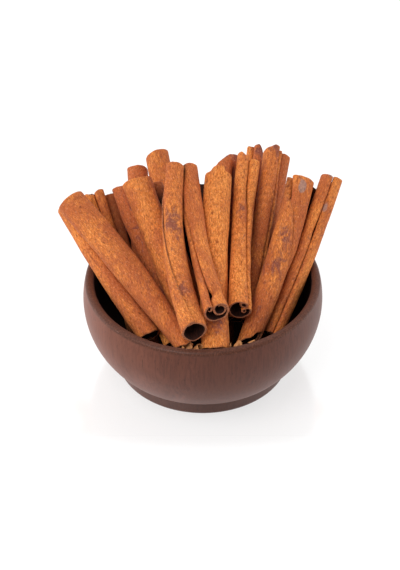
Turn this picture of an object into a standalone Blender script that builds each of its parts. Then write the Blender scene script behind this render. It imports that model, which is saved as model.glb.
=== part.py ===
"""Cinnamon sticks standing fanned out in a turned wooden bowl.

Run with: blender --background --python part.py
Metres, +Z up.  The origin is the middle of the bowl's foot, on the surface that
it stands on.  The butts of the sticks face -Y and their tips lean back to +Y.
"""
import math

import bpy
import numpy as np

MM = 0.001

# ---------------------------------------------------------------- bowl sizes
RIM_HEIGHT = 53.0 * MM
LIP_THICKNESS = 3.2 * MM
BELLY_HEIGHT = 41.0 * MM        # where the bowl is widest
BELLY_CENTRE = 15.7 * MM        # from the axis to the centre of the wall's arc
OUTER_ARC = 44.6 * MM
INNER_ARC = 40.2 * MM
FLOOR_HEIGHT = 9.0 * MM
WALL_FOOT_HEIGHT = 11.8 * MM    # where the body overhangs its foot
FOOT_NECK_RADIUS = 46.0 * MM
FOOT_NECK_HEIGHT = 10.3 * MM
FOOT_RADIUS = 44.0 * MM
FOOT_EDGE = 0.8 * MM
ARC_POINTS = 9
LIP_POINTS = 5
BOWL_SIDES = 48
FINE_FLOOR_POINTS = 40          # the bowl's outline as the sticks are laid on it
FINE_WALL_POINTS = 60
FINE_LIP_POINTS = 13
FINE_OUTSIDE_POINTS = 8

# --------------------------------------------------------------- stick rules
CLEARANCE = 0.5 * MM            # left between one stick and the next
SAMPLE_STEP = 1.5 * MM          # spacing of the places where contact is tested
END_MARGIN = 0.02               # of a stick's length, not tested at its ends
BARK = 0.16                     # bark thickness over a stick's radius
CURL_GAP = 0.05                 # slit between two curls, over a stick's radius
ARC_TURN = math.radians(34)     # one facet of the rolled bark's outer arc
CURL_TURN = math.radians(58)    # one facet of a curl inside it
ROLL_STEP = math.radians(34)    # one facet of a stick rolled one way
STATIONS = 4                    # points along a straight stick's axis
BOWED_STATIONS = 5
BOWED_FROM = 1.2                # bow in millimetres from which a stick has more points

BOWL_WOOD = (0.085, 0.032, 0.022)
PALE_BARK = (0.56, 0.27, 0.09)
RED_BARK = (0.36, 0.12, 0.05)
DARK_BARK = (0.16, 0.055, 0.03)

# How the bark of a stick is rolled: the radius of its right and left curl and
# how far round each goes in degrees, and where the seam between them lies.
# All lengths are over the stick's radius.
CURLS = {
    "twin": (0.30, 225, 0.30, 225, 0.0),
    "six": (0.42, 250, 0.17, 120, -0.34),
    "flap": (0.24, 150, 0.36, 260, 0.16),
}
ROLL_TURN = 1.22                # turns of bark in a stick rolled one way
ROLL_PITCH = 0.26               # how far its radius falls over one turn

# The sticks in the order they were put in the bowl.  In millimetres: where the
# middle of the butt and of the tip stands in plan, the diameters there, and
# how far the middle bows to the right; then the way the bark is rolled, how
# many degrees the seam is turned from the top, and the bark's colour.
STICKS = (
    ("quill_01", (1, -24), (-1, 63.5), 9, 8, 0, "twin", 20, DARK_BARK),
    ("quill_02", (10, -27), (15, 56), 9, 9.5, 0, "twin", -30, RED_BARK),
    ("quill_03", (-12, -27), (-22, 52), 9, 9.5, 0, "six", 40, RED_BARK),
    ("quill_04", (-23, -16), (-48.5, 46), 8, 7.5, 0, "twin", 0, RED_BARK),
    ("quill_05", (23, -20), (55.5, 45), 9, 8, 0, "six", 30, DARK_BARK),
    ("quill_06", (-31, -19), (-55.7, 41.5), 9.5, 9, 1, "twin", 15, PALE_BARK),
    ("quill_07", (-28, -24), (-34, 65.5), 10, 10.5, 0, "flap", 60, RED_BARK),
    ("quill_08", (-8, -17), (-24, 67), 11, 11.5, 1, "roll", 150, RED_BARK),
    ("quill_09", (24, -11), (41.3, 76), 7.5, 7.5, 0, "twin", -20, RED_BARK),
    ("quill_10", (16, -11), (28, 83), 8.5, 8.5, 0, "flap", 0, RED_BARK),
    ("quill_11", (3, -9), (16, 68), 7.5, 8, 0, "twin", 0, RED_BARK),
    ("quill_12", (-9, -21), (-41.5, 42), 9, 9, -1.5, "twin", -35, RED_BARK),
    ("quill_13", (-18, -32), (-38, 4), 5.5, 5, 0, "roll", 80, PALE_BARK),
    ("quill_14", (-27, -33), (-69, 37.5), 11.5, 11, -1, "roll", -120, PALE_BARK),
    ("quill_15", (1, -23), (-24.3, 43.5), 8, 7.5, 0, "twin", 10, DARK_BARK),
    ("quill_16", (3, -14), (11, 60), 8.5, 8.5, 0, "six", 0, PALE_BARK),
    ("quill_17", (-7, -28), (-33.5, 36), 12.5, 14.5, 0, "flap", 130, PALE_BARK),
    ("quill_18", (6, -46), (8, 42), 13.5, 13, -1.5, "six", -150, PALE_BARK),
    ("quill_19", (22, -10), (37, 73), 9.5, 9.5, 1, "twin", 40, RED_BARK),
    ("quill_20", (34, -24), (66, 46), 10.8, 10.8, 1, "twin", 20, PALE_BARK),
    ("quill_21", (-11, -46), (-66.5, 27), 13.5, 14.5, 2, "flap", -60, PALE_BARK),
    ("quill_22", (23, -32), (49.7, 40.5), 13, 13.5, 2, "twin", -160, PALE_BARK),
    ("quill_23", (18, -31), (24, 63), 11, 12, -1.5, "twin", 25, PALE_BARK),
    ("quill_24", (6.5, -44), (-7, 44), 11, 8, -2.5, "six", -20, PALE_BARK),
    ("quill_25", (-4, -51), (-14, 39), 11.5, 9, -5, "roll", -40, PALE_BARK),
)


def clear_scene():
    for obj in list(bpy.data.objects):
        bpy.data.objects.remove(obj, do_unlink=True)


def new_collection(name):
    collection = bpy.data.collections.new(name)
    bpy.context.scene.collection.children.link(collection)
    return collection


def wood(name, colour, roughness):
    material = bpy.data.materials.new(name)
    material.use_nodes = True
    shader = material.node_tree.nodes["Principled BSDF"]
    shader.inputs["Base Color"].default_value = (*colour, 1.0)
    shader.inputs["Roughness"].default_value = roughness
    shader.inputs["Metallic"].default_value = 0.0
    return material


# ---------------------------------------------------------------------- bowl
def wall_arc(radius, low, high, count):
    """Points (r, z) up one face of the wall, between two heights."""
    start = math.asin((low - BELLY_HEIGHT) / radius)
    end = math.asin((high - BELLY_HEIGHT) / radius)
    turns = np.linspace(start, end, count)
    return [(BELLY_CENTRE + radius * math.cos(a), BELLY_HEIGHT + radius * math.sin(a)) for a in turns]


def bowl_profile():
    """The bowl's section, from the middle of its floor over the lip to its foot."""
    lip = LIP_THICKNESS / 2
    lip_height = RIM_HEIGHT - lip
    inner = wall_arc(INNER_ARC, FLOOR_HEIGHT, lip_height, ARC_POINTS)
    outer = wall_arc(OUTER_ARC, WALL_FOOT_HEIGHT, lip_height, ARC_POINTS)
    lip_middle = (inner[-1][0] + outer[-1][0]) / 2
    half_lip = (outer[-1][0] - inner[-1][0]) / 2
    turns = np.linspace(math.pi, 0, LIP_POINTS)[1:-1]
    over = [(lip_middle + half_lip * math.cos(a), lip_height + lip * math.sin(a)) for a in turns]
    foot = [
        (FOOT_NECK_RADIUS, FOOT_NECK_HEIGHT),
        (FOOT_RADIUS, FOOT_EDGE),
        (FOOT_RADIUS - FOOT_EDGE, 0.0),
        (0.0, 0.0),
    ]
    return [(0.0, FLOOR_HEIGHT)] + inner + over + outer[::-1] + foot


def make_bowl(collection):
    mesh = bpy.data.meshes.new("bowl")
    points = [(r, 0.0, z) for r, z in bowl_profile()]
    edges = [(i, i + 1) for i in range(len(points) - 1)]
    mesh.from_pydata(points, edges, [])
    bowl = bpy.data.objects.new("bowl", mesh)
    collection.objects.link(bowl)
    turn = bowl.modifiers.new("turned", "SCREW")
    turn.steps = BOWL_SIDES
    turn.render_steps = BOWL_SIDES
    turn.use_merge_vertices = True
    turn.merge_threshold = 0.00005
    turn.use_smooth_shade = True
    mesh.materials.append(wood("bowl_wood", BOWL_WOOD, 0.5))


# ------------------------------------------------------ how the sticks settle
def height_over_bowl(reach, radius):
    """How high a ball's middle stands over the bowl, at its distance from the axis."""
    profile = np.array([point for point in fine_profile() if point[0] > 0])
    offset = np.abs(reach[:, None] - profile[None, :, 0])
    size = radius[:, None]
    height = profile[None, :, 1] + np.sqrt(np.maximum(size**2 - offset**2, 0))
    return np.where(offset < size, height, -1.0).max(axis=1)


def fine_profile():
    """The bowl's inside and lip, closely spaced, as (r, z)."""
    lip = LIP_THICKNESS / 2
    wall = wall_arc(INNER_ARC, FLOOR_HEIGHT, RIM_HEIGHT - lip, FINE_WALL_POINTS)
    floor = [(r, FLOOR_HEIGHT) for r in np.linspace(0, wall[0][0], FINE_FLOOR_POINTS)]
    middle = wall[-1][0] + lip
    turns = np.linspace(math.pi, 0, FINE_LIP_POINTS)
    over = [(middle + lip * math.cos(a), RIM_HEIGHT - lip + lip * math.sin(a)) for a in turns]
    outside = wall_arc(OUTER_ARC, BELLY_HEIGHT, RIM_HEIGHT - lip, FINE_OUTSIDE_POINTS)
    return floor + wall + over + outside


def height_over_stick(plan, radius, laid):
    """How high balls along a new stick stand over one that is already laid."""
    middles, sizes = laid
    apart = ((plan[:, None] - middles[None, :, :2]) ** 2).sum(axis=2)
    reach = radius[:, None] + sizes[None] + CLEARANCE
    height = middles[None, :, 2] + np.sqrt(np.maximum(reach**2 - apart, 0))
    return np.where(apart < reach**2, height, -1.0).max(axis=1)


def resting_line(along, height, balance):
    """The lowest line over all the heights that carries the balance point."""
    hull = []
    for x, y in zip(along, height):
        while len(hull) > 1:
            (x0, y0), (x1, y1) = hull[-2:]
            if (x1 - x0) * (y - y0) < (y1 - y0) * (x - x0):
                break
            hull.pop()
        hull.append((x, y))
    for (x0, y0), (x1, y1) in zip(hull, hull[1:]):
        if x0 <= balance <= x1:
            slope = (y1 - y0) / (x1 - x0)
            return y0 - slope * x0, slope
    raise ValueError("the stick's balance point is past its supports")


def stick_plan(butt, tip, bow, along):
    """Points of a stick's axis in plan, at parts of the way from butt to tip."""
    way = tip - butt
    right = np.array([way[1], -way[0]]) / np.hypot(*way)
    return butt + along[:, None] * way + (4 * along * (1 - along) * bow)[:, None] * right


def settle(sticks):
    """Lay each stick on the bowl and on the ones below: butt height and rise."""
    laid = []
    heights = []
    for _name, butt, tip, butt_size, tip_size, bow, *_looks in sticks:
        butt, tip = np.array(butt) * MM, np.array(tip) * MM
        count = int(np.hypot(*(tip - butt)) / SAMPLE_STEP) + 1
        along = np.linspace(END_MARGIN, 1 - END_MARGIN, count)
        plan = stick_plan(butt, tip, bow * MM, along)
        radius = (butt_size + (tip_size - butt_size) * along) * MM / 2
        need = height_over_bowl(np.hypot(*plan.T), radius + CLEARANCE)
        for other in laid:
            need = np.maximum(need, height_over_stick(plan, radius, other))
        square, cross, end = butt_size**2, butt_size * tip_size, tip_size**2
        balance = (square + 2 * cross + 3 * end) / (4 * (square + cross + end))
        base, rise = resting_line(along, need, balance)
        laid.append((np.column_stack([plan, base + rise * along]), radius))
        heights.append((base, rise))
    return heights


# -------------------------------------------------------------------- sticks
def curl_points(radius, turn, side, seam):
    """One side of the rolled bark's middle line, from its lowest point inward."""
    outer = 1 - BARK / 2
    reach = outer - radius
    start = math.acos((side * seam + radius + (BARK + CURL_GAP) / 2) / reach)
    arc = np.linspace(-math.pi / 2, start, math.ceil((start + math.pi / 2) / ARC_TURN) + 1)
    points = [(outer * math.cos(a), outer * math.sin(a)) for a in arc]
    turn = math.radians(turn)
    for a in np.linspace(start, start + turn, math.ceil(turn / CURL_TURN) + 1)[1:]:
        points.append((reach * math.cos(start) + radius * math.cos(a),
                       reach * math.sin(start) + radius * math.sin(a)))
    return [(side * x, y) for x, y in points]


def bark_line(kind):
    """The middle line of the bark across a stick of radius 1, its seam at +Y."""
    if kind == "roll":
        outer = 1 - BARK / 2
        turns = np.linspace(0, ROLL_TURN, math.ceil(ROLL_TURN * math.tau / ROLL_STEP))
        return [((outer - ROLL_PITCH * t) * math.sin(math.tau * t),
                 (outer - ROLL_PITCH * t) * math.cos(math.tau * t)) for t in turns]
    right, right_turn, left, left_turn, seam = CURLS[kind]
    left_side = curl_points(left, left_turn, -1, seam)
    return left_side[::-1] + curl_points(right, right_turn, 1, seam)[1:]


def bark_outline(kind):
    """The bark's section: its middle line given its thickness."""
    line = np.array(bark_line(kind))
    along = np.gradient(line, axis=0)
    along /= np.hypot(*along.T)[:, None]
    across = np.column_stack([-along[:, 1], along[:, 0]]) * BARK / 2
    return np.vstack([line + across, (line - across)[::-1]])


def section_curve(kind, guides):
    curve = bpy.data.curves.new("bark_" + kind, "CURVE")
    curve.dimensions = "2D"
    outline = bark_outline(kind)
    spline = curve.splines.new("POLY")
    spline.points.add(len(outline) - 1)
    for point, (x, y) in zip(spline.points, outline):
        point.co = (x, y, 0.0, 1.0)
    spline.use_cyclic_u = True
    guide = bpy.data.objects.new("bark_" + kind, curve)
    guide.hide_render = True
    guide.display_type = "WIRE"
    guides.objects.link(guide)
    return guide


def make_stick(stick, height, sections, collection):
    name, butt, tip, butt_size, tip_size, bow, kind, seam, colour = stick
    base, rise = height
    along = np.linspace(0, 1, STATIONS if abs(bow) < BOWED_FROM else BOWED_STATIONS)
    plan = stick_plan(np.array(butt) * MM, np.array(tip) * MM, bow * MM, along)
    curve = bpy.data.curves.new(name, "CURVE")
    curve.dimensions = "3D"
    curve.twist_mode = "Z_UP"
    curve.bevel_mode = "OBJECT"
    curve.bevel_object = sections[kind]
    curve.use_fill_caps = True
    spline = curve.splines.new("POLY")
    spline.points.add(len(along) - 1)
    for point, t, (x, y) in zip(spline.points, along, plan):
        point.co = (x, y, base + rise * t, 1.0)
        point.radius = (butt_size + (tip_size - butt_size) * t) * MM / 2
        point.tilt = math.radians(seam)
    stick_object = bpy.data.objects.new(name, curve)
    curve.materials.append(wood(name + "_bark", colour, 0.7))
    collection.objects.link(stick_object)


def main():
    clear_scene()
    parts = new_collection("cinnamon_sticks_in_bowl")
    guides = new_collection("guides")
    make_bowl(parts)
    sections = {kind: section_curve(kind, guides) for kind in [*CURLS, "roll"]}
    for stick, height in zip(STICKS, settle(STICKS)):
        make_stick(stick, height, sections, parts)


main()
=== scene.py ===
"""Looks of a fan of cinnamon sticks in a small turned wooden bowl."""

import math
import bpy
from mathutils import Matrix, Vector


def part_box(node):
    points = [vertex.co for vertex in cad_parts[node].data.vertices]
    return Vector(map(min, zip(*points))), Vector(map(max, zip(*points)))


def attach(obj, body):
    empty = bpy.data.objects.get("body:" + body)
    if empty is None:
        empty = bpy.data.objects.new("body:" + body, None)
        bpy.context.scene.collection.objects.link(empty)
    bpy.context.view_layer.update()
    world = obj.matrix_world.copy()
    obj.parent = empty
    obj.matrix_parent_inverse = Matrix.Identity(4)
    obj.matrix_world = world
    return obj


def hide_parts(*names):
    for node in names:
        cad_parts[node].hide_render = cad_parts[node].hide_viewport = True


bl_info = {
    "name": "Cinnamon Sticks in a Bowl",
    "version": (1, 0, 0),
    "blender": (4, 5, 0),
    "location": "3D View > Sidebar > Cinnamon",
    "description": "Rolls bark into cinnamon sticks and turns the bowl that holds them",
    "category": "Object",
}

from types import SimpleNamespace

import bmesh
import bpy
import numpy as np
from bpy.props import FloatProperty, FloatVectorProperty, IntProperty, PointerProperty
from mathutils import Vector, noise

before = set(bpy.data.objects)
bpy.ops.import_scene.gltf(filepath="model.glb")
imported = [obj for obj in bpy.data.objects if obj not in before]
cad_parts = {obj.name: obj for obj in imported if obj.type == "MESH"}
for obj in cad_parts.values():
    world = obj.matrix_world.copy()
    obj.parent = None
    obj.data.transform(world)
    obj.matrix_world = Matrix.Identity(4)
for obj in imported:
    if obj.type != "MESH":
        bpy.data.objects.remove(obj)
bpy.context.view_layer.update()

MM = 0.001

# ------------------------------------------------------------------ the sticks
BARK = 0.18                     # bark thickness over a stick's radius
CURL_GAP = 0.03                 # slit between two curls, over the radius


def curl(corner, drop, scroll, turn):
    """How one side of the bark rolls in, in parts of the stick's radius: the
    radius that it folds over with, how far it then drops along the seam, and the
    radius and the degrees that it curls round with at the end."""
    return SimpleNamespace(corner=corner, drop=drop, scroll=scroll, turn=turn)


def double_roll(right, left, side=0.0):
    """Bark rolled in from both sides, with its seam so far to the side."""
    return SimpleNamespace(right=right, left=left, side=side)


def single_roll(turns, pitch):
    """Bark rolled up from one side, and how far it steps in under its own edge."""
    return SimpleNamespace(turns=turns, pitch=pitch)


SHUT = double_roll(curl(0.13, 0.42, 0.25, 250), curl(0.14, 0.40, 0.26, 270))
LOBES = double_roll(curl(0.38, 0.0, 0.34, 200), curl(0.38, 0.0, 0.34, 180))
SMALL_LEFT = double_roll(curl(0.24, 0.05, 0.24, 120), curl(0.24, 0.0, 0.22, 150), -0.22)
SMALL_RIGHT = double_roll(curl(0.24, 0.0, 0.22, 150), curl(0.42, 0.0, 0.38, 140), 0.22)
SIX = double_roll(curl(0.48, 0.14, 0.49, 300), curl(0.17, 0.30, 0.13, 130), -0.33)
SIX_SHUT = double_roll(curl(0.14, 0.40, 0.34, 150), curl(0.12, 0.10, 0.16, 90), -0.26)
SEAMED = double_roll(curl(0.20, 0.10, 0.20, 200), curl(0.20, 0.10, 0.20, 180))
THREE = double_roll(curl(0.18, 0.40, 0.17, 250), curl(0.30, 0.0, 0.30, 330), 0.06)
RING = single_roll(1.12, 0.19)
SCROLL = single_roll(1.75, 0.19)
FLAKE = single_roll(0.42, 0.0)
CURLED_FLAKE = single_roll(0.8, 0.3)


def stick(roll, seam, **finish):
    """One stick's finish: the way it is rolled and where its seam lies, in
    degrees from the top towards the right, seen from the butt.

    far_roll  how it is rolled beyond the parts of its length given by change
    twist     degrees that the seam turns from butt to tip
    butt, tip how far each end is cut back, as (degrees from the top, millimetres)
    torn      how ragged the ends are, in millimetres
    full      the stick's girth over that of its CAD solid, as (part of the way up,
              factor) steps from butt to tip
    tone      0 for pale tan bark to 1 for red-brown
    dark      painted shade: how much darker than the rest, for bark that lies deep in the heap
    stain     how much purple-brown staining
    squiggle  how strong the worm-like lines are
    marks     (kind, part of the way up, degrees from the top, length, width,
              strength), the sizes in millimetres
    """
    facts = dict(roll=roll, seam=seam, far_roll=roll, change=(0.0, 1.0), twist=0.0, butt=(),
                 tip=(), torn=0.4, full=((0, 1.03),), tone=0.3, dark=0.0, stain=0.2, squiggle=0.3,
                 marks=())
    facts.update(finish)
    return SimpleNamespace(**facts)


# dark and the dark marks are painted shade: they turn sticks deep in the heap, and the shaded sides and
# lobes of some, toward near-black
STICKS = {
    "quill_01": stick(SHUT, 170, tone=0.8, dark=0.97),
    "quill_02": stick(SHUT, -30, tone=0.9, dark=0.65, butt=((0, -7),)),
    "quill_03": stick(SIX_SHUT, 40, tone=0.7, dark=0.8),
    "quill_04": stick(SHUT, 170, tone=0.95, dark=0.35, full=((0, 0.9),)),
    "quill_05": stick(SIX_SHUT, 170, tone=0.9, dark=0.93),
    "quill_06": stick(LOBES, -22, tone=0.15, dark=0.03, full=((0, 0.9), (0.6, 1.0), (1, 1.12)),
                      tip=((-90, 0), (-30, 1.5), (10, 0)),
                      marks=(("dark", 0.0, 0, 70, 30, 0.95),)),
    "quill_07": stick(RING, 150, tone=0.85, squiggle=0.1,
                      tip=((-90, -1.8), (-20, -0.9), (60, -0.7), (100, 0.2), (180, 1.2))),
    "quill_08": stick(SCROLL, 160, tone=0.6, squiggle=0.1, full=((0, 1.14),),
                      tip=((-100, 1.8), (-50, 1.0), (0, 0.2), (60, -0.4), (100, -0.4), (180, 1.6)),
                      marks=(("stain", 0.93, 30, 8, 3, 0.5), ("stain", 0.8, -10, 10, 3, 0.4))),
    "quill_09": stick(SHUT, 170, tone=1.0, dark=0.05, full=((0, 1.3),),
                      tip=((-60, 1.5), (40, 0))),
    "quill_10": stick(LOBES, -25, tone=0.55, torn=0.8, stain=0.45,
                      tip=((-60, 0.8), (-25, 0.5), (20, 0), (90, 3.0)), marks=(
        ("tone", 0.95, 50, 30, 12, 0.7), ("tone", 0.95, -70, 30, 6, -0.6),
        ("stain", 1.0, 60, 14, 6, 0.5))),
    "quill_11": stick(SHUT, 150, tone=1.0, stain=0.9, torn=0.6),
    "quill_12": stick(SHUT, 170, tone=1.0, stain=0.4, full=((0, 1.14), (0.7, 1.28), (1, 1.14)),
                      tip=((-90, 0), (0, 1.2), (30, 1.5)), marks=(
        ("stain", 0.85, 20, 40, 4, 0.5),)),
    "quill_13": stick(RING, 180, tone=-0.7, stain=0.0, squiggle=0.0, butt=((0, -4),),
                      full=((0, 1.15), (1, 1.0))),
    "quill_14": stick(RING, -170, tone=0.4, squiggle=0.2, full=((0, 1.04),),
                      butt=((0, -3.5), (90, -2.5), (180, -1.5), (-90, -2)),
                      marks=(("tone", 0.2, 40, 60, 10, 0.5), ("tone", 0.35, 20, 30, 12, 0.4),
                             ("tone", 0.75, -30, 40, 12, -0.4))),
    "quill_15": stick(SHUT, 160, tone=0.9, dark=0.15, marks=(("dark", 0.84, 0, 18, 20, 0.85),)),
    "quill_16": stick(SHUT, 170, tone=0.65, full=((0, 1.0), (1, 1.1)),
                      tip=((-90, 6.0), (-45, 5), (-30, 3.5), (20, 0.5), (90, 0))),
    "quill_17": stick(SHUT, 165, tone=0.25, stain=0.05, squiggle=0.15, full=((0, 1.05),),
                      tip=((-100, 0), (-60, 0.2), (0, 1.2), (60, 0.8), (100, 0.2), (180, 2)),
                      marks=(("tone", 0.5, 60, 80, 8, 0.6),)),
    "quill_18": stick(SIX_SHUT, -150, tone=-0.1, stain=0.05, squiggle=0.1, torn=0.5,
                      full=((0, 1.02), (0.4, 1.0), (0.7, 1.07), (1, 1.04)),
                      butt=((0, -5), (90, -3), (180, 1), (-90, -3)),
                      tip=((-100, 2.6), (-38, 2.2), (-14, -0.6), (22, -0.8), (38, 2.0), (90, 2.2)),
                      marks=(("stain", 0.12, 10, 20, 12, 0.7), ("tone", 0.12, 0, 45, 20, 0.7))),
    "quill_19": stick(SHUT, 60, far_roll=SMALL_RIGHT, change=(0.6, 1.0), tone=0.4,
                      full=((0, 1.06),),
                      tip=((-90, 3.2), (-30, 1.8), (20, 0), (80, 0.3)), marks=(
        ("stain", 0.97, 25, 10, 9, 0.6), ("tone", 0.3, 0, 50, 14, 0.4))),
    "quill_20": stick(SHUT, 25, far_roll=SEAMED, change=(0.55, 0.8), tone=0.15, torn=0.4,
                      full=((0, 0.95), (0.4, 1.05)), tip=((-90, 0.4), (0, 0.8), (90, 0)), marks=(
        ("lichen", 0.80, 38, 8, 3.0, 0.8), ("tone", 0.2, 0, 60, 14, 0.6),
        ("tone", 0.96, -30, 20, 9, 0.5), ("lichen", 0.99, 5, 4, 4, 0.7))),
    "quill_21": stick(SHUT, 175, tone=0.38, squiggle=0.9,
                      full=((0, 0.64), (0.12, 0.72), (0.26, 0.90), (0.4, 1.02), (1, 1.02)),
                      butt=((0, -5), (90, -3), (180, 1), (-90, -3)),
                      tip=((-90, 0), (0, 0.6), (90, 0), (180, 2)), marks=(
        ("tone", 0.3, 0, 50, 24, 0.4), ("tone", 0.9, 0, 16, 14, 0.3),
        ("stain", 0.3, -20, 18, 8, 0.3))),
    "quill_22": stick(RING, 150, far_roll=SMALL_LEFT, change=(0.75, 1.0), twist=-178, tone=0.42,
                      stain=0.3, torn=0.6, full=((0, 0.80), (0.25, 0.92), (0.6, 1.04)),
                      butt=((-90, -5), (-30, -4.5), (10, -2.5), (60, 2.5), (90, 4), (180, -5)),
                      tip=((-90, 0), (-45, 0.8), (-20, 0), (60, 0.5)), marks=(
        ("lichen", 0.93, 24, 10, 5, 1.1), ("dark", 1.0, -75, 40, 8, 0.45),
        ("stain", 0.62, 0, 10, 10, 0.5), ("stain", 0.42, 0, 12, 12, 0.45),
        ("tone", 0.1, 0, 30, 20, 0.4))),
    "quill_23": stick(THREE, 68, far_roll=LOBES, change=(0.60, 0.85), twist=-55, tone=0.0,
                      full=((0, 1.06), (0.12, 0.98), (0.35, 0.86), (0.6, 0.92), (0.8, 1.02)),
                      butt=((0, 0.8), (180, -0.8)),
                      tip=((-60, 0), (-10, 0.3), (20, 3.6), (70, 4.2)), marks=(
        ("stain", 0.60, 0, 12, 7, 0.45), ("stain", 0.42, 10, 9, 6, 0.35),
        ("tone", 0.5, 0, 26, 9, 0.7), ("tone", 0.2, -20, 30, 8, -0.5))),
    "quill_24": stick(SIX, 8, far_roll=SIX_SHUT, change=(0.03, 0.14), twist=-80, tone=0.4,
                      squiggle=0.1, full=((0, 1.14), (0.12, 1.06), (0.4, 0.96), (0.6, 1.08),
                                          (0.8, 1.22), (1, 1.08)), butt=((0, 0.8), (180, -0.8)),
                      marks=(("tone", 0.85, 0, 30, 12, 0.4), ("dark", 0.95, -40, 14, 3.5, 0.9))),
    "quill_25": stick(RING, 5, twist=-130, tone=0.35, stain=0.2, squiggle=1.0, torn=0.3,
                      full=((0, 1.17), (0.3, 1.16), (0.6, 1.12), (0.8, 1.16), (1, 1.08)),
                      butt=((0, 1.8), (90, 0), (180, -1.8), (-90, 0)), marks=(
        ("stain", 0.60, 5, 20, 9, 0.8), ("stain", 0.22, 0, 10, 8, 0.7),
        ("tone", 0.42, -30, 22, 8, -0.7), ("tone", 0.10, 0, 12, 14, -0.5))),
}


def chip(x, y, z, heading, climb, length, radius, roll=CURLED_FLAKE, seam=150, **finish):
    """A flake of bark: its low end in millimetres, its heading and climb in degrees."""
    return SimpleNamespace(spot=(x * MM, y * MM, z * MM), heading=math.radians(heading),
                           climb=math.radians(climb), length=length * MM, radius=radius * MM,
                           style=stick(roll, seam, **finish))


# dark on each flake is painted shade: the flakes lie under the butts, and it turns them toward
# near-black
CHIPS = (
    chip(-11.0, -48.0, 48.5, 70, 20, 5.0, 2.2, dark=0.7, tone=0.9),
    chip(-7.0, -51.0, 48.0, 20, 30, 4.0, 1.6, dark=0.8, tone=0.9, seam=60),
    chip(-4.0, -50.0, 46.5, 110, 50, 5.0, 2.0, dark=0.8, tone=0.9),
    chip(-5.0, -52.0, 50.0, -20, 10, 3.2, 0.9, FLAKE, 0, dark=0.5, tone=0.7),
    chip(-10.0, -51.5, 50.5, 160, 5, 3.0, 0.8, FLAKE, 20, dark=0.4, tone=0.7),
    chip(15.5, -49.5, 48.5, 40, 20, 4.0, 1.3, dark=0.7, tone=0.7),
    chip(19.0, -50.0, 50.0, -30, 10, 2.6, 0.9, FLAKE, 0, dark=0.3, tone=0.5),
    chip(22.0, -48.5, 50.0, 70, 15, 3.4, 1.0, FLAKE, 30, dark=0.4, tone=0.6),
    chip(13.5, -50.5, 50.5, 10, 0, 2.0, 0.6, FLAKE, -20, dark=0.2, tone=0.4),
)

ARC_STEP = math.radians(7)      # spacing of the points round the outer arc
CURL_STEP = math.radians(16)    # and round a curl
RING_GAP = 5 * MM               # least spacing of a CAD stick's rings
CIRCLE_ROUNDS = 400             # steps that fit a circle round a ring
POINT_SPACING = 0.55 * MM       # mesh spacing across the bark
LENGTH_SPACING = 0.80 * MM      # and along it
END_HOLLOW = 0.5                # how far the inmost bark stands back, in millimetres


class BarkSettings(bpy.types.PropertyGroup):
    relief: FloatProperty(
        name="Relief", description="Height of the bark's ridges and dents",
        default=0.28 * MM, min=0, unit="LENGTH")
    fray: FloatProperty(
        name="Fray", description="How ragged the ends of the sticks are", default=1.0, min=0)
    pale: FloatVectorProperty(
        name="Pale Bark", description="Colour of the lightest bark",
        default=(0.76, 0.275, 0.062), size=3, subtype="COLOR")
    warm: FloatVectorProperty(
        name="Warm Bark", description="Colour of most of the bark",
        default=(0.55, 0.140, 0.028), size=3, subtype="COLOR")
    red: FloatVectorProperty(
        name="Red Bark", description="Colour of red patches",
        default=(0.38, 0.085, 0.030), size=3, subtype="COLOR")
    fleck: FloatVectorProperty(
        name="Flecks", description="Colour of the dark flecks along the grain",
        default=(0.22, 0.052, 0.016), size=3, subtype="COLOR")
    stain: FloatVectorProperty(
        name="Stains", description="Colour of the purple-brown stains",
        default=(0.21, 0.062, 0.045), size=3, subtype="COLOR")
    # near-black: the inner bark's darker brown, with painted shade inside the roll
    inside: FloatVectorProperty(
        name="Inside", description="Colour of the inner side of the bark",
        default=(0.014, 0.004, 0.003), size=3, subtype="COLOR")
    edge: FloatVectorProperty(
        name="Cut Edge", description="Colour of the bark where it is cut",
        default=(0.50, 0.180, 0.085), size=3, subtype="COLOR")


class BowlSettings(bpy.types.PropertyGroup):
    sides: IntProperty(
        name="Sides", description="Facets round the bowl", default=224, min=48)
    wood: FloatVectorProperty(
        name="Wood", description="Colour of the oiled wood",
        default=(0.150, 0.046, 0.026), size=3, subtype="COLOR")
    grain: FloatVectorProperty(
        name="Grain", description="Colour of the dark grain lines",
        default=(0.070, 0.022, 0.014), size=3, subtype="COLOR")
    # painted shade: the inside is near-black, its darker wood with painted shade over it
    inside: FloatVectorProperty(
        name="Inside", description="Colour of the dark inside",
        default=(0.016, 0.006, 0.004), size=3, subtype="COLOR")
    # light line along the lip's outer edge: a painted highlight, broken by scuffs of wear
    worn: FloatVectorProperty(
        name="Highlighted and Worn Edge", description="Colour of the worn edge of the lip",
        default=(0.36, 0.22, 0.18), size=3, subtype="COLOR")


class StageSettings(bpy.types.PropertyGroup):
    key: FloatProperty(
        name="Key Light", description="Power of the large light above the front left",
        default=10.0, min=0, unit="POWER")
    side: FloatProperty(
        name="Side Lights", description="Power of the light on each side",
        default=4.5, min=0, unit="POWER")
    front_sky: FloatProperty(
        name="Front", description="Brightness of the studio behind the camera",
        default=0.28, min=0)
    back_sky: FloatProperty(
        name="Back", description="Brightness of the studio behind the bowl",
        default=1.0, min=0)


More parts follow.
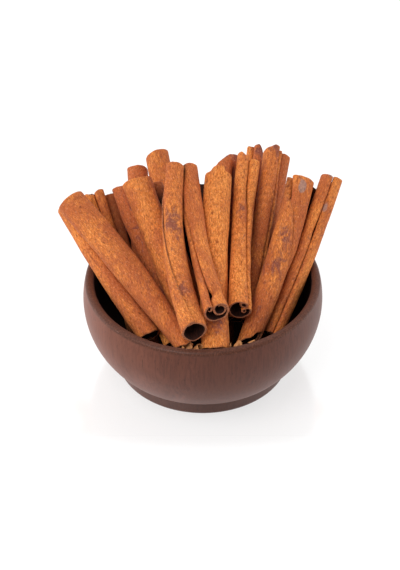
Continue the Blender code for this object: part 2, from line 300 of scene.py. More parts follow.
# --------------------------------------------------------------- node building
class Value:
    """A node's socket that takes part in sums, so that maths reads as Python."""

    def __init__(self, web, socket):
        self.web = web
        self.socket = socket

    def other(self, name):
        """Another output of the same node."""
        return Value(self.web, self.socket.node.outputs[name])

    def _sum(self, operation, first, second=0.0):
        return self.web.add("ShaderNodeMath", {"operation": operation}, {0: first, 1: second})

    def __add__(self, other):
        return self._sum("ADD", self, other)

    def __radd__(self, other):
        return self._sum("ADD", other, self)

    def __sub__(self, other):
        return self._sum("SUBTRACT", self, other)

    def __rsub__(self, other):
        return self._sum("SUBTRACT", other, self)

    def __mul__(self, other):
        return self._sum("MULTIPLY", self, other)

    def __rmul__(self, other):
        return self._sum("MULTIPLY", other, self)

    def __truediv__(self, other):
        return self._sum("DIVIDE", self, other)

    def __rtruediv__(self, other):
        return self._sum("DIVIDE", other, self)

    def __pow__(self, other):
        return self._sum("POWER", self, other)

    def __rpow__(self, other):
        return self._sum("POWER", other, self)

    def least(self, other):
        return self._sum("MINIMUM", self, other)

    def most(self, other):
        return self._sum("MAXIMUM", self, other)

    def size(self):
        return self._sum("ABSOLUTE", self)


class Web:
    """Adds nodes to a node tree, and joins them by the values they are given."""

    def __init__(self, tree):
        self.tree = tree

    def add(self, kind, settings=None, sockets=None, out=0):
        """A new node's output, with its settings made before its sockets are filled."""
        node = self.tree.nodes.new(kind)
        for name, value in (settings or {}).items():
            if name == "stops":
                self._stops(node.color_ramp, value)
            else:
                setattr(node, name, value)
        for key, value in (sockets or {}).items():
            if isinstance(value, Value):
                self.tree.links.new(value.socket, node.inputs[key])
            else:
                node.inputs[key].default_value = value
        return Value(self, node.outputs[out]) if len(node.outputs) else node

    @staticmethod
    def _stops(ramp, stops):
        while len(ramp.elements) < len(stops):
            ramp.elements.new(0.5)
        for element, (place, shade) in zip(ramp.elements, stops):
            element.position = place
            element.color = (shade, shade, shade, 1.0)

    def vector(self, x=0.0, y=0.0, z=0.0):
        return self.add("ShaderNodeCombineXYZ", None, {0: x, 1: y, 2: z})

    def vmath(self, operation, first, second=(0.0, 0.0, 0.0), out=0):
        return self.add("ShaderNodeVectorMath", {"operation": operation},
                        {0: first, 1: second}, out)

    def scaled(self, vector, factor):
        return self.add("ShaderNodeVectorMath", {"operation": "SCALE"}, {0: vector, 3: factor})

    def noise(self, vector, scale=1.0, detail=2.0, rough=0.5, bend=0.0):
        return self.add("ShaderNodeTexNoise", None, {
            "Vector": vector, "Scale": scale, "Detail": detail, "Roughness": rough,
            "Distortion": bend})

    def step(self, value, low, high):
        """0 below low and 1 above high, smooth between."""
        return self.add("ShaderNodeMapRange", {"interpolation_type": "SMOOTHSTEP"},
                        {0: value, 1: low, 2: high})

    def mix(self, factor, first, second):
        """From one colour to another."""
        return self.add("ShaderNodeMix", {"data_type": "RGBA"}, {0: factor, 6: first, 7: second}, 2)

    def multiplied(self, first, second):
        """One colour times another."""
        return self.add("ShaderNodeMix", {"data_type": "RGBA", "blend_type": "MULTIPLY"},
                        {0: 1.0, 6: first, 7: second}, 2)


def colour(rgb):
    return (*rgb, 1.0)


def new_material(name):
    """A material's Web and its Principled node."""
    material = bpy.data.materials.new(name)
    material.use_nodes = True
    return material, Web(material.node_tree), material.node_tree.nodes["Principled BSDF"]


# ------------------------------------------------------------ bark, as a finish
def bark_material(settings):
    """Dry cinnamon bark.  Its pattern runs on the bark's own map, in millimetres
    across and along the bark, and on what each stick's paint says."""
    material, web, shader = new_material("cinnamon_bark")
    place = web.add("ShaderNodeUVMap", {"uv_map": "bark"})
    across = web.add("ShaderNodeSeparateXYZ", None, {0: place}, "X")
    along = across.other("Y")

    def paint(name):
        return web.add("ShaderNodeAttribute", {"attribute_name": name}, None, "Fac")

    tone, dark, stain, lichen, squiggle, side = (
        paint(n) for n in ("tone", "dark", "stain", "lichen", "squiggle", "side"))
    fibre = web.noise(web.vector(across * 1.25, along * 0.42), 1.0, 2.0, 0.65, 0.6)
    thread = web.noise(web.vector(across * 3.4, along * 0.9, 7.0), 1.0, 2.0, 0.6)
    mottle = web.noise(web.vector(across * 0.50, along * 0.22, 3.0), 1.0, 3.0, 0.62, 1.0)
    drift = web.noise(web.vector(across * 0.10, along * 0.05, 11.0), 1.0, 2.0, 0.55)
    speck = web.noise(web.vector(across * 1.2, along * 0.42, 19.0), 1.0, 1.0, 0.5, 0.3)
    blot = web.noise(web.vector(across * 0.26, along * 0.13, 29.0), 1.0, 4.0, 0.65, 1.2)
    worm = web.noise(web.vector(across * 0.62, along * 0.34, 41.0), 1.0, 1.0, 0.5, 2.6)

    paleness = web.step(fibre * 0.5 + mottle * 0.5, 0.34, 0.64)
    redness = web.step(mottle * 0.75 + drift * 0.65 + tone * 0.30, 0.64, 0.96)
    skin = web.mix(paleness, colour(settings.warm), colour(settings.pale))
    skin = web.mix(redness * 0.8, skin, colour(settings.red))
    flecks = web.step(fibre * 0.5 + speck * 0.5, 0.43, 0.33)
    skin = web.mix(flecks * 0.7, skin, colour(settings.fleck))
    lines = web.step((worm - 0.5).size(), 0.05, 0.0) * squiggle
    skin = web.mix(lines * 0.75, skin, colour(settings.red))
    soiled = web.step(blot + stain * 0.36, 0.66, 0.84) * 0.85
    skin = web.mix(soiled, skin, colour(settings.stain))
    grey = web.step(blot * 0.6 + lichen * 0.7, 0.62, 0.8) * 0.7
    skin = web.mix(grey, skin, (0.30, 0.21, 0.19, 1.0))
    dust = web.noise(web.vector(across * 1.5, along * 0.8, 53.0), 1.0, 1.0, 0.5)
    skin = web.mix(web.step(dust, 0.58, 0.70) * 0.2, skin, (0.78, 0.42, 0.22, 1.0))
    shade = 1.0 + (fibre - 0.5) * 0.9 + (thread - 0.5) * 1.4
    skin = web.multiplied(skin, web.vector(shade, shade, shade))
    # painted shade: dark turns the bark toward near-black where it lies deep in the heap
    skin = web.mix(dark, skin, (0.020, 0.006, 0.004, 1.0))
    # the inner side of the bark, near-black: its darker brown with painted shade inside the roll
    inner = web.mix(web.step(fibre, 0.35, 0.7), colour(settings.inside), (0.045, 0.012, 0.007, 1))
    edge = web.mix(web.step(thread, 0.4, 0.65), colour(settings.edge), (0.22, 0.08, 0.042, 1))
    # painted shade on the cut edges too, by the same dark
    edge = web.mix(dark, edge, (0.015, 0.005, 0.003, 1.0))
    cut = web.step(side, 0.90, 0.98)
    lining = web.step(side, 0.10, 0.02)
    skin = web.mix(cut, edge, skin)
    skin = web.mix(lining, skin, inner)

    height = fibre * 0.6 + thread * 0.3 + mottle * 0.35 - flecks * 0.3 - lines * 0.3
    bump = web.add("ShaderNodeBump", None, {
        "Strength": 0.45, "Distance": 0.5 * MM, "Height": height})
    rough = 0.62 + fibre * 0.3
    links = web.tree.links
    links.new(skin.socket, shader.inputs["Base Color"])
    links.new(rough.socket, shader.inputs["Roughness"])
    links.new(bump.socket, shader.inputs["Normal"])
    shader.inputs["Specular IOR Level"].default_value = 0.15
    shader.inputs["Sheen Weight"].default_value = 0.02
    shader.inputs["Sheen Tint"].default_value = (1.0, 0.72, 0.60, 1.0)
    return material


# ------------------------------------------------------------- a rolled section
def arc(middle, radius, start, turn, step, tighten=0.0):
    """Points round a middle from an angle on, its own first point left out."""
    angles = np.linspace(0, turn, max(2, math.ceil(abs(turn) / step)) + 1)[1:]
    return [(middle[0] + radius * (1 - tighten * a / turn) * math.cos(start + a),
             middle[1] + radius * (1 - tighten * a / turn) * math.sin(start + a)) for a in angles]


def curl_line(side, hand, roll_side):
    """One side of the bark's middle line, from its lowest point into its curl."""
    outer = 1 - BARK / 2
    reach = outer - side.corner
    start = math.acos((hand * roll_side + side.corner + (BARK + CURL_GAP) / 2) / reach)
    points = [(0.0, -outer)] + arc((0, 0), outer, -math.pi / 2, start + math.pi / 2, ARC_STEP)
    fold = (reach * math.cos(start), reach * math.sin(start))
    points += arc(fold, side.corner, start, math.pi - start, CURL_STEP)
    low = fold[1] - side.drop
    points += [(points[-1][0], fold[1] + (low - fold[1]) * t) for t in (0.5, 1.0)] if side.drop else []
    middle = (fold[0] - side.corner + side.scroll, low)
    points += arc(middle, side.scroll, math.pi, math.radians(side.turn), CURL_STEP, 0.22)
    return [(hand * x, y) for x, y in points]


def bark_line(roll):
    """The middle line of the bark across a stick of radius 1, its seam on top."""
    if hasattr(roll, "pitch"):
        outer = 1 - BARK / 2
        turns = np.linspace(0, roll.turns, math.ceil(roll.turns * math.tau / ARC_STEP))
        radii = outer - roll.pitch * np.clip((turns - 0.84) / 0.14, 0, None)
        radii = np.where(turns < 0.98, radii, outer - roll.pitch * (1 + 0.9 * (turns - 0.98)))
        return [(-r * math.sin(math.tau * t), r * math.cos(math.tau * t))
                for r, t in zip(radii, turns)]
    left = curl_line(roll.left, -1, roll.side)
    return left[::-1] + curl_line(roll.right, 1, roll.side)[1:]


def cut_back(turn, cuts):
    """How far an end is cut back at a turn round the stick, in millimetres."""
    if not cuts:
        return 0.0
    cuts = sorted((t % 360, depth) for t, depth in cuts)
    turns = [cuts[-1][0] - 360] + [t for t, _ in cuts] + [cuts[0][0] + 360]
    depths = [cuts[-1][1]] + [d for _, d in cuts] + [cuts[0][1]]
    turn = turn % 360
    after = next(i for i, t in enumerate(turns) if t > turn)
    part = (turn - turns[after - 1]) / (turns[after] - turns[after - 1])
    part = part * part * (3 - 2 * part)
    return depths[after - 1] + (depths[after] - depths[after - 1]) * part


def section_object(name, roll, style, seed, fray):
    """The bark's section as a line, with how far each end is cut back on it."""
    line = bark_line(roll)
    mesh = bpy.data.meshes.new(name)
    points = []
    butt_cuts = []
    tip_cuts = []
    ends = ((butt_cuts, style.butt, 3.1, style.seam), (tip_cuts, style.tip, 8.7,
                                                       style.seam + style.twist))
    for i, (x, y) in enumerate(line):
        points.append((x, y, 0.0))
        deep = END_HOLLOW * (1 - math.hypot(x, y))
        for cuts, shape, end, seam in ends:
            turn = math.degrees(math.atan2(x, y)) + seam
            rag = noise.noise((x * 1.3, y * 1.3 + seed * 1.7, end))
            rag += 0.5 * noise.noise((x * 4.0, y * 4.0 + seed * 1.7, end))
            ragged = style.torn * fray * (0.25 + 1.2 * rag)
            cuts.append((cut_back(turn, shape) + deep + max(ragged, 0.0)) * MM)
    mesh.from_pydata(points, [(i, i + 1) for i in range(len(points) - 1)], [])
    mesh.attributes.new("butt_cut", "FLOAT", "POINT").data.foreach_set("value", butt_cuts)
    mesh.attributes.new("tip_cut", "FLOAT", "POINT").data.foreach_set("value", tip_cuts)
    section = bpy.data.objects.new(name, mesh)
    bpy.context.scene.collection.objects.link(section)
    return section


# ------------------------------------------------------- a stick's middle line
def enclosing_circle(points):
    """Middle and radius of the smallest circle round a ring's points."""
    middle = points.mean(axis=0)
    for step in range(2, CIRCLE_ROUNDS):
        away = np.linalg.norm(points - middle, axis=1)
        middle = middle + (points[away.argmax()] - middle) / step
    return middle, np.linalg.norm(points - middle, axis=1).max()


def stick_rings(node):
    """The rings of a stick's CAD solid, butt first, as (middle, radius)."""
    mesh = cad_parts[node].data
    points = np.array([v.co for v in mesh.vertices])
    middle = points.mean(axis=0)
    way = np.linalg.svd(points - middle, full_matrices=False)[2][0]
    way = way * np.sign(way[1])
    along = (points - middle) @ way
    order = along.argsort()
    breaks = np.flatnonzero(np.diff(along[order]) > RING_GAP) + 1
    return [enclosing_circle(points[ring]) for ring in np.split(order, breaks)]


def axis_object(name, rings, style):
    """A stick's middle line, with its radius and its twist at each ring."""
    mesh = bpy.data.meshes.new(name)
    mesh.from_pydata([m for m, _ in rings], [(i, i + 1) for i in range(len(rings) - 1)], [])
    turns = np.radians(style.seam + np.linspace(0, style.twist, len(rings)))
    parts = np.linspace(0, 1, len(rings))
    full = np.interp(parts, [part for part, _ in style.full], [by for _, by in style.full])
    radii = full * [radius for _, radius in rings]
    mesh.attributes.new("girth", "FLOAT", "POINT").data.foreach_set("value", radii)
    mesh.attributes.new("turn", "FLOAT", "POINT").data.foreach_set("value", turns)
    axis = bpy.data.objects.new(name, mesh)
    bpy.context.scene.collection.objects.link(axis)
    return axis


# ------------------------------------------------------------ the rolling tree
def rolling_tree():
    """Geometry nodes that roll a strip of bark round a stick's middle line."""
    tree = bpy.data.node_groups.new("roll_bark", "GeometryNodeTree")
    sockets = (
        ("Axis", "NodeSocketGeometry", None),
        ("Section", "NodeSocketObject", None),
        ("Far Section", "NodeSocketObject", None),
        ("Change From", "NodeSocketFloat", 0.0),
        ("Change To", "NodeSocketFloat", 1.0),
        ("Points Across", "NodeSocketInt", 90),
        ("Points Along", "NodeSocketInt", 110),
        ("Bark", "NodeSocketFloat", BARK),
        ("Relief", "NodeSocketFloat", 0.2 * MM),
        ("Seed", "NodeSocketFloat", 0.0),
        ("Finish", "NodeSocketMaterial", None),
    )
    for name, kind, start in sockets:
        made = tree.interface.new_socket(name, in_out="INPUT", socket_type=kind)
        if start is not None:
            made.default_value = start
    tree.interface.new_socket("Stick", in_out="OUTPUT", socket_type="NodeSocketGeometry")
    web = Web(tree)
    given = web.add("NodeGroupInput")

    def named(name):
        return web.add("GeometryNodeInputNamedAttribute", {"data_type": "FLOAT"}, {"Name": name})

    def stored(geometry, name, value):
        return web.add("GeometryNodeStoreNamedAttribute", {"data_type": "FLOAT", "domain": "POINT"},
                       {"Geometry": geometry, "Name": name, "Value": value})

    def sampled(line, part, value=0.0, out="Value"):
        return web.add("GeometryNodeSampleCurve", {"mode": "FACTOR", "data_type": "FLOAT"},
                       {"Curves": line, "Factor": part, "Value": value}, out)

    # the two lines that the bark follows
    axis = web.add("GeometryNodeMeshToCurve", None, {0: given.other("Axis")})
    axis = web.add("GeometryNodeCurveSplineType", {"spline_type": "CATMULL_ROM"}, {0: axis})
    axis = web.add("GeometryNodeSetSplineResolution", None, {"Geometry": axis, "Resolution": 16})

    def line_of(name):
        shown = web.add("GeometryNodeObjectInfo", {"transform_space": "ORIGINAL"},
                        {"Object": given.other(name)}, "Geometry")
        return web.add("GeometryNodeMeshToCurve", None, {0: shown})

    section = line_of("Section")
    far_section = line_of("Far Section")
    length = web.add("GeometryNodeCurveLength", None, {0: axis})
    width = web.add("GeometryNodeCurveLength", None, {0: section})

    # a flat strip: across the bark in X, along it in Y, outside to inside in Z
    strip = web.add("GeometryNodeMeshCube", None, {
        "Size": (1.0, 1.0, 1.0), "Vertices X": given.other("Points Across"),
        "Vertices Y": given.other("Points Along"), "Vertices Z": 3})
    spot = web.add("ShaderNodeSeparateXYZ", None, {0: web.add("GeometryNodeInputPosition")}, "X")
    strip = stored(strip, "across", spot + 0.5)
    strip = stored(strip, "along", spot.other("Y") + 0.5)
    strip = stored(strip, "depth", spot.other("Z"))
    across, along, depth = named("across"), named("along"), named("depth")

    # where each point of the strip lies on the section and on the axis
    change = web.step(along, given.other("Change From"), given.other("Change To"))

    def blended(out):
        return web.add("ShaderNodeMix", {"data_type": "VECTOR"}, {
            0: change, 4: sampled(section, across, out=out),
            5: sampled(far_section, across, out=out)}, 1)

    point = blended("Position")
    sway = web.vmath("NORMALIZE", blended("Tangent"))
    butt_cut = sampled(section, across, named("butt_cut"))
    tip_cut = sampled(section, across, named("tip_cut"))
    bulge = (1.0 - 4.0 * depth * depth) * (along - 0.5) * 0.5 * MM
    way = butt_cut + along * (length - butt_cut - tip_cut) + bulge
    part = way / length
    heading = sampled(axis, part, out="Tangent")
    beyond = way - way.most(0.0).least(length)
    middle = web.vmath("ADD", sampled(axis, part, out="Position"), web.scaled(heading, beyond))
    girth = sampled(axis, part, named("girth"))
    turn = sampled(axis, part, named("turn"))

    # right and up across the stick
    right = web.vmath("NORMALIZE", web.vmath("CROSS_PRODUCT", heading, (0.0, 0.0, 1.0)))
    up = web.vmath("CROSS_PRODUCT", right, heading)
    cosine = web.add("ShaderNodeMath", {"operation": "COSINE"}, {0: turn})
    sine = web.add("ShaderNodeMath", {"operation": "SINE"}, {0: turn})

    def twisted(flat):
        """A vector of the section, turned with the stick's twist."""
        x = web.add("ShaderNodeSeparateXYZ", None, {0: flat}, "X")
        y = x.other("Y")
        return x * cosine + y * sine, y * cosine - x * sine

    x, y = twisted(point)
    along_x, along_y = twisted(sway)
    seed = given.other("Seed")

    # dents and swellings, alike through all the layers of a stick
    lumps = web.noise(web.vector(x * 0.9 + seed * 3.0, y * 0.9, way * 38.0), 1.0, 2.0, 0.5) - 0.5
    neck = web.noise(web.vector(seed * 3.0, 5.0, way * 45.0), 1.0, 1.0, 0.5) - 0.5
    calm = 0.25 + 0.75 * web.step(along.least(1.0 - along), 0.0, 0.22)
    swell = 1.0 + (lumps * 0.18 + neck * 0.11) * calm
    bark_way = across * width * girth

    # ridges on the outside only
    ridges = web.noise(web.vector(bark_way * 900.0, way * 110.0, seed), 1.0, 3.0, 0.6) - 0.5
    dents = web.noise(web.vector(bark_way * 230.0, way * 85.0, seed + 9.0), 1.0, 2.0, 0.5) - 0.5
    outside = web.step(depth, 0.1, -0.4)
    rise = (ridges * 0.8 + dents * 1.3) * given.other("Relief") * outside

    # the free edges of the bark are thinner
    rim = web.step(across.least(1.0 - across), 0.0, 0.03)
    thick = given.other("Bark") * girth * (0.55 + 0.45 * rim)
    out_by = rise - depth * thick
    flat_x = x * girth * swell + along_y * out_by
    flat_y = y * girth * swell - along_x * out_by
    place = web.vmath("ADD", middle, web.vmath(
        "ADD", web.scaled(right, flat_x), web.scaled(up, flat_y)))
    strip = stored(strip, "angle", web.add("ShaderNodeMath", {"operation": "ARCTAN2"}, {0: x, 1: y}))
    strip = stored(strip, "way", way)
    strip = stored(strip, "side", 0.5 - depth)
    strip = web.add("GeometryNodeStoreNamedAttribute", {"data_type": "FLOAT2", "domain": "CORNER"}, {
        "Geometry": strip, "Name": "bark",
        "Value": web.vector(bark_way * 1000.0 + seed * 31.0, way * 1000.0 + seed * 17.0)})
    strip = web.add("GeometryNodeSetPosition", None, {"Geometry": strip, "Position": place})
    strip = web.add("GeometryNodeSetShadeSmooth", None, {"Geometry": strip, "Shade Smooth": True})
    strip = web.add("GeometryNodeRealizeInstances", None, {0: strip})
    strip = web.add("GeometryNodeSetMaterial", None, {
        "Geometry": strip, "Material": given.other("Finish")})
    web.add("NodeGroupOutput", None, {0: strip})
    return tree


def fill_inputs(modifier, values):
    """Sets a geometry modifier's inputs by the names that its tree gives them."""
    for item in modifier.node_group.interface.items_tree:
        if item.in_out == "INPUT" and item.name in values:
            modifier[item.identifier] = values[item.name]


def made_plain(obj):
    """Turns an object's evaluated shape into its own plain mesh."""
    depsgraph = bpy.context.evaluated_depsgraph_get()
    mesh = bpy.data.meshes.new_from_object(
        obj.evaluated_get(depsgraph), preserve_all_data_layers=True, depsgraph=depsgraph)
    old = obj.data
    obj.modifiers.clear()
    obj.data = mesh
    bpy.data.meshes.remove(old)
    mesh.name = obj.name
    return obj


def read(mesh, name):
    values = np.zeros(len(mesh.vertices), np.float32)
    mesh.attributes[name].data.foreach_get("value", values)
    return values


def write(mesh, name, values):
    mesh.attributes.new(name, "FLOAT", "POINT").data.foreach_set("value", values.astype(np.float32))


def paint_stick(obj, style, girth):
    """Stores what the bark finish reads: tone, depth of shade, stains, lichen."""
    mesh = obj.data
    way = read(mesh, "way")
    turn = np.degrees(read(mesh, "angle"))
    length = way.max()
    layers = {
        "stain": np.full(len(way), style.stain),
        "lichen": np.zeros(len(way)),
        # painted shade, deepest for sticks low in the heap
        "dark": np.full(len(way), style.dark),
        "tone": np.full(len(way), style.tone),
        "squiggle": np.full(len(way), style.squiggle),
    }
    for kind, part, degrees, long, wide, strength in style.marks:
        away = (turn - degrees + 180) % 360 - 180
        u = np.radians(away) * girth / (wide * MM / 2)
        v = (way - part * length) / (long * MM / 2)
        layers[kind] = layers[kind] + strength * np.exp(-(u * u + v * v))
    for name, values in layers.items():
        write(mesh, name, values)


def rolled(name, rings, style, seed, tree, finish, settings):
    """A strip of bark rolled round the line of middles and radii given."""
    girth = max(radius for _, radius in rings)
    length = sum(np.linalg.norm(b[0] - a[0]) for a, b in zip(rings, rings[1:]))
    section = section_object("section", style.roll, style, seed, settings.fray)
    far = section_object("far_section", style.far_roll, style, seed, settings.fray)
    line = np.array(bark_line(style.roll))
    width = np.linalg.norm(np.diff(line, axis=0), axis=1).sum() * girth
    obj = axis_object(name, rings, style)
    roll = obj.modifiers.new("rolled", "NODES")
    roll.node_group = tree
    fill_inputs(roll, {
        "Section": section, "Far Section": far,
        "Change From": style.change[0], "Change To": style.change[1],
        "Points Across": max(int(width / POINT_SPACING), 8),
        "Points Along": max(int(length / LENGTH_SPACING), 8), "Bark": BARK,
        "Relief": settings.relief, "Seed": float(seed), "Finish": finish})
    made_plain(obj)
    obj.data.materials.clear()
    obj.data.materials.append(finish)
    obj.data.polygons.foreach_set("material_index", np.zeros(len(obj.data.polygons), np.int32))
    bpy.data.objects.remove(section)
    bpy.data.objects.remove(far)
    paint_stick(obj, style, girth)
    return obj


class CINNAMON_OT_roll_sticks(bpy.types.Operator):
    """Rolls a strip of bark round the middle line of each stick"""

    bl_idname = "cinnamon.roll_sticks"
    bl_label = "Roll the Sticks"

    def execute(self, context):
        settings = context.scene.cinnamon_bark
        finish = bark_material(settings)
        tree = rolling_tree()
        for seed, (node, style) in enumerate(STICKS.items()):
            name = node.replace("quill", "stick")
            obj = rolled(name, stick_rings(node), style, seed, tree, finish, settings)
            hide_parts(node)
            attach(obj, "root")
        return {"FINISHED"}


class CINNAMON_OT_scatter_chips(bpy.types.Operator):
    """Lays the broken flakes of bark between the butts and the lip"""

    bl_idname = "cinnamon.scatter_chips"
    bl_label = "Scatter the Chips"

    def execute(self, context):
        settings = context.scene.cinnamon_bark
        finish = bpy.data.materials["cinnamon_bark"]
        tree = bpy.data.node_groups["roll_bark"]
        chips = []
        for seed, flake in enumerate(CHIPS, len(STICKS)):
            way = np.array((math.sin(flake.heading) * math.cos(flake.climb),
                            math.cos(flake.heading) * math.cos(flake.climb),
                            math.sin(flake.climb)))
            rings = [(np.array(flake.spot) + way * flake.length * part, flake.radius)
                     for part in (0.0, 0.5, 1.0)]
            chips.append(rolled("bark_chips", rings, flake.style, seed, tree, finish, settings))
        with context.temp_override(active_object=chips[0], selected_editable_objects=chips):
            bpy.ops.object.join()
        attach(chips[0], "root")
        return {"FINISHED"}


# -------------------------------------------------------------------- the bowl
WALL_CENTRE = 15.7 * MM         # from the axis to the centre of the wall's arc
WALL_HEIGHT = 41.0 * MM         # height of that centre
OUTER_ARC = 44.6 * MM
INNER_ARC = 40.2 * MM
LIP = 3.2 * MM
FLOOR_HEIGHT = 9.0 * MM
WALL_FOOT_HEIGHT = 11.8 * MM
FOOT_NECK = (46.0 * MM, 10.3 * MM)
FOOT_RADIUS = 44.0 * MM
FOOT_EDGE = 0.8 * MM


def wall_arc(radius, low, high, count):
    start = math.asin((low - WALL_HEIGHT) / radius)
    end = math.asin((high - WALL_HEIGHT) / radius)
    return [(WALL_CENTRE + radius * math.cos(a), WALL_HEIGHT + radius * math.sin(a))
            for a in np.linspace(start, end, count)]


def bowl_profile():
    """The bowl's section, from the middle of its floor over the lip to its foot."""
    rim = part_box("bowl")[1].z
    half = LIP / 2
    inner = wall_arc(INNER_ARC, FLOOR_HEIGHT, rim - half, 48)
    outer = wall_arc(OUTER_ARC, WALL_FOOT_HEIGHT, rim - half, 48)
    floor = [(r, FLOOR_HEIGHT) for r in np.linspace(0, inner[0][0], 12)[:-1]]
    middle = (inner[-1][0] + outer[-1][0]) / 2
    wide = (outer[-1][0] - inner[-1][0]) / 2
    over = [(middle + wide * math.cos(a), rim - half + half * math.sin(a))
            for a in np.linspace(math.pi, 0, 13)[1:-1]]
    r, z = outer[0]
    neck = [(r - 0.3 * MM, z - 0.5 * MM), (FOOT_NECK[0] + 0.3 * MM, FOOT_NECK[1])]
    side = [(FOOT_NECK[0] + (FOOT_RADIUS - FOOT_NECK[0]) * t,
             FOOT_NECK[1] + (FOOT_EDGE - FOOT_NECK[1]) * t) for t in np.linspace(0.06, 1, 8)]
    base = [(FOOT_RADIUS - FOOT_EDGE, 0.0), (FOOT_RADIUS / 2, 0.0), (0.0, 0.0)]
    return floor + inner + over + outer[::-1] + neck + side + base


def bowl_material(settings):
    """Dark oiled wood: grain that climbs the wall, lighter on the left half and darker on the right as
    painted light and shade, an inside darkened to near-black with painted shade over its darker wood,
    and light scuffs with a painted highlight along the lip's outer edge.
    """
    material, web, shader = new_material("bowl_wood")
    place = web.add("ShaderNodeTexCoord", None, None, "Object")
    x = web.add("ShaderNodeSeparateXYZ", None, {0: place}, "X")
    y, z = x.other("Y"), x.other("Z")
    reach = (x * x + y * y) ** 0.5
    streak = web.noise(web.vector(x * 900.0, y * 900.0, z * 70.0), 1.0, 3.0, 0.6, 0.2)
    pores = web.noise(web.vector(x * 1900.0, y * 1900.0, z * 260.0), 1.0, 2.0, 0.6)
    cloud = web.noise(web.vector(x * 45.0, y * 45.0, z * 30.0), 1.0, 4.0, 0.6, 0.6)
    wood = web.mix(web.step(streak, 0.42, 0.66) * 0.6, colour(settings.wood), colour(settings.grain))
    wood = web.mix(web.step(cloud, 0.40, 0.68) * 0.4, wood, (0.17, 0.055, 0.028, 1.0))
    # painted light and shade: darker on the right half of the bowl and lighter on the left, as lit from
    # the left
    bend = x + (cloud - 0.5) * 0.10
    wood = web.mix(web.step(bend, -0.045, 0.015) * 0.45, wood, (0.055, 0.016, 0.010, 1.0))
    wood = web.mix(web.step(bend, -0.015, -0.055) * 0.4, wood, (0.24, 0.080, 0.046, 1.0))
    wood = web.mix(web.step(pores, 0.60, 0.72) * 0.5, wood, (0.02, 0.008, 0.006, 1.0))
    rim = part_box("bowl")[1].z
    foot = web.step(z, FOOT_NECK[1] + 1.0 * MM, FOOT_NECK[1] - 1.0 * MM)
    wood = web.mix(foot * 0.45, wood, (0.03, 0.012, 0.009, 1.0))
    fleck = web.noise(web.vector(x * 1500.0, y * 1500.0, z * 900.0), 1.0, 3.0, 0.7)
    lip = web.step(z, rim - 2.4 * MM, rim - 1.2 * MM)
    brown = web.mix(web.step(fleck, 0.42, 0.66), (0.060, 0.019, 0.010, 1.0), (0.135, 0.046, 0.025, 1.0))
    wood = web.mix(lip * 0.85, wood, brown)
    # painted shade: the inside wall turns near-black, over its darker wood
    inner = web.add("ShaderNodeAttribute", {"attribute_name": "inner"}, None, "Fac")
    wood = web.mix(inner, wood, colour(settings.inside))
    # light scuffs, and a painted highlight along the rounded outer edge of the lip
    scuff = web.noise(web.vector(x * 260.0, y * 260.0, z * 900.0), 1.0, 3.0, 0.65)
    worn = web.add("ShaderNodeAttribute", {"attribute_name": "worn"}, None, "Fac")
    wood = web.mix(web.step(scuff * 0.7 + worn * 0.5, 0.62, 0.84) * 0.7, wood, colour(settings.worn))
    height = streak * 0.6 + pores * 0.4
    bump = web.add("ShaderNodeBump", None, {
        "Strength": 0.25, "Distance": 0.2 * MM, "Height": height})
    links = web.tree.links
    links.new(wood.socket, shader.inputs["Base Color"])
    links.new((0.34 + cloud * 0.2 + inner * 0.3).socket, shader.inputs["Roughness"])
    links.new(bump.socket, shader.inputs["Normal"])
    shader.inputs["IOR"].default_value = 1.3
    shader.inputs["Sheen Weight"].default_value = 0.10
    shader.inputs["Sheen Tint"].default_value = (1.0, 0.62, 0.58, 1.0)
    return material


class CINNAMON_OT_turn_bowl(bpy.types.Operator):
    """Turns the bowl from its profile, and marks its inside for painted shade and the outer edge of its
    lip for a painted highlight with wear
    """

    bl_idname = "cinnamon.turn_bowl"
    bl_label = "Turn the Bowl"

    def execute(self, context):
        settings = context.scene.cinnamon_bowl
        mesh = bpy.data.meshes.new("turned_bowl")
        profile = bowl_profile()
        mesh.from_pydata([(r, 0.0, z) for r, z in profile],
                         [(i, i + 1) for i in range(len(profile) - 1)], [])
        obj = bpy.data.objects.new("turned_bowl", mesh)
        context.scene.collection.objects.link(obj)
        turn = obj.modifiers.new("turned", "SCREW")
        turn.steps = turn.render_steps = settings.sides
        turn.use_merge_vertices = True
        turn.merge_threshold = 0.02 * MM
        made_plain(obj)
        mesh = obj.data
        co = np.array([v.co for v in mesh.vertices])
        reach = np.hypot(co[:, 0], co[:, 1])
        rim = co[:, 2].max()
        # where the inside wall lies, for its painted shade
        middle = WALL_CENTRE + np.sqrt(np.maximum(
            ((INNER_ARC + OUTER_ARC) / 2) ** 2 - (co[:, 2] - WALL_HEIGHT) ** 2, 0))
        inner = np.clip((middle - reach) / (1.2 * MM), 0, 1) * (co[:, 2] > FLOOR_HEIGHT - MM)
        inner *= np.clip((rim - 0.4 * MM - co[:, 2]) / (1.2 * MM), 0, 1)
        write(mesh, "inner", inner)
        # the band round the lip's outer edge that takes the painted highlight
        edge = np.exp(-((reach - middle - 1.8 * MM) / (0.45 * MM)) ** 2)
        edge *= np.exp(-((co[:, 2] - rim + 1.0 * MM) / (0.5 * MM)) ** 2)
        write(mesh, "worn", edge)
        mesh.shade_smooth()
        mesh.set_sharp_from_angle(angle=math.radians(50))
        mesh.materials.clear()
        mesh.materials.append(bowl_material(settings))
        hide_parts("bowl")
        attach(obj, "root")
        return {"FINISHED"}


# ------------------------------------------------------------------- the stage
CAMERA_DISTANCE = 0.900
CAMERA_ELEVATION = math.radians(38.81)
CAMERA_SIDE = -1.43 * MM
AIM_HEIGHT = 47.6 * MM
VIEW_ANGLE = math.radians(18.10)    # top to bottom


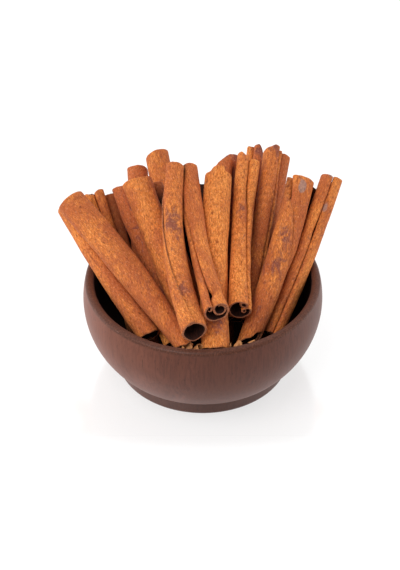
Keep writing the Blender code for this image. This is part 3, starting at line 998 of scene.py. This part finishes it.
def floor_material():
    """Pale glossy table top, a little uneven in its gloss."""
    material, web, shader = new_material("pale_floor")
    place = web.add("ShaderNodeTexCoord", None, None, "Object")
    haze = web.noise(place, 6.0, 2.0, 0.5)
    front = 0.0 - web.add("ShaderNodeSeparateXYZ", None, {0: place}, "Y")
    tint = web.mix(haze, (0.28, 0.28, 0.28, 1.0), (0.30, 0.30, 0.30, 1.0))
    matt = web.step(front, 0.055, 0.075)
    web.tree.links.new(tint.socket, shader.inputs["Base Color"])
    web.tree.links.new((0.13 + haze * 0.04 + matt * 0.7).socket, shader.inputs["Roughness"])
    shader.inputs["IOR"].default_value = 2.3
    shader.inputs["Emission Color"].default_value = (1.0, 1.0, 1.0, 1.0)
    shader.inputs["Emission Strength"].default_value = 0.68
    return material


def area_light(name, place, aim, size, power):
    light = bpy.data.lights.new(name, "AREA")
    light.shape = "RECTANGLE"
    light.size, light.size_y = size
    light.energy = power
    obj = bpy.data.objects.new(name, light)
    obj.location = place
    obj.rotation_euler = (Vector(aim) - Vector(place)).to_track_quat("-Z", "Y").to_euler()
    bpy.context.scene.collection.objects.link(obj)
    return obj


class CINNAMON_OT_set_stage(bpy.types.Operator):
    """Lays the pale floor and sets the soft lights and the camera"""

    bl_idname = "cinnamon.set_stage"
    bl_label = "Set the Stage"

    def execute(self, context):
        settings = context.scene.cinnamon_stage
        bpy.ops.mesh.primitive_plane_add(size=8.0)
        floor = context.object
        floor.name = "floor"
        floor.data.materials.append(floor_material())
        area_light("key_light", (-0.45, -0.55, 1.1), (0, 0, 0.03), (0.8, 0.8), settings.key)
        area_light("left_light", (-1.2, 0.1, 0.35), (0, 0, 0.03), (0.7, 0.5), settings.side)
        area_light("right_light", (1.2, 0.1, 0.35), (0, 0, 0.03), (0.7, 0.5), settings.side)
        world = bpy.data.worlds.new("white_studio")
        world.use_nodes = True
        web = Web(world.node_tree)
        place = web.add("ShaderNodeTexCoord", None, None, "Object")
        back = web.add("ShaderNodeSeparateXYZ", None, {0: place}, "Y")
        glow = web.step(back, -0.5, 0.5)
        sky = world.node_tree.nodes["Background"]
        sky.inputs["Color"].default_value = (1.0, 1.0, 1.0, 1.0)
        strength = settings.front_sky + glow * (settings.back_sky - settings.front_sky)
        world.node_tree.links.new(strength.socket, sky.inputs["Strength"])
        context.scene.world = world
        context.scene.view_settings.view_transform = "Standard"
        camera = bpy.data.cameras.new("camera")
        camera.sensor_fit = "VERTICAL"
        camera.angle = VIEW_ANGLE
        camera.clip_start = 0.01
        obj = bpy.data.objects.new("camera", camera)
        aim = Vector((CAMERA_SIDE, 0, AIM_HEIGHT))
        away = Vector((0, -math.cos(CAMERA_ELEVATION), math.sin(CAMERA_ELEVATION)))
        obj.location = aim + away * CAMERA_DISTANCE
        obj.rotation_euler = (-away).to_track_quat("-Z", "Y").to_euler()
        context.scene.collection.objects.link(obj)
        context.scene.camera = obj
        return {"FINISHED"}


class CINNAMON_PT_panel(bpy.types.Panel):
    bl_label = "Cinnamon"
    bl_space_type = "VIEW_3D"
    bl_region_type = "UI"
    bl_category = "Cinnamon"

    def draw(self, context):
        for operator in OPERATORS:
            self.layout.operator(operator.bl_idname)


GROUPS = (BarkSettings, BowlSettings, StageSettings)
OPERATORS = (CINNAMON_OT_turn_bowl, CINNAMON_OT_roll_sticks, CINNAMON_OT_scatter_chips,
             CINNAMON_OT_set_stage)


def register():
    for kind in (*GROUPS, *OPERATORS, CINNAMON_PT_panel):
        bpy.utils.register_class(kind)
    bpy.types.Scene.cinnamon_bark = PointerProperty(type=BarkSettings)
    bpy.types.Scene.cinnamon_bowl = PointerProperty(type=BowlSettings)
    bpy.types.Scene.cinnamon_stage = PointerProperty(type=StageSettings)


def unregister():
    del bpy.types.Scene.cinnamon_stage
    del bpy.types.Scene.cinnamon_bowl
    del bpy.types.Scene.cinnamon_bark
    for kind in reversed((*GROUPS, *OPERATORS, CINNAMON_PT_panel)):
        bpy.utils.unregister_class(kind)


def main():
    register()
    bpy.ops.cinnamon.turn_bowl()
    bpy.ops.cinnamon.roll_sticks()
    bpy.ops.cinnamon.scatter_chips()
    bpy.ops.cinnamon.set_stage()


if __name__ == "__main__":
    main()
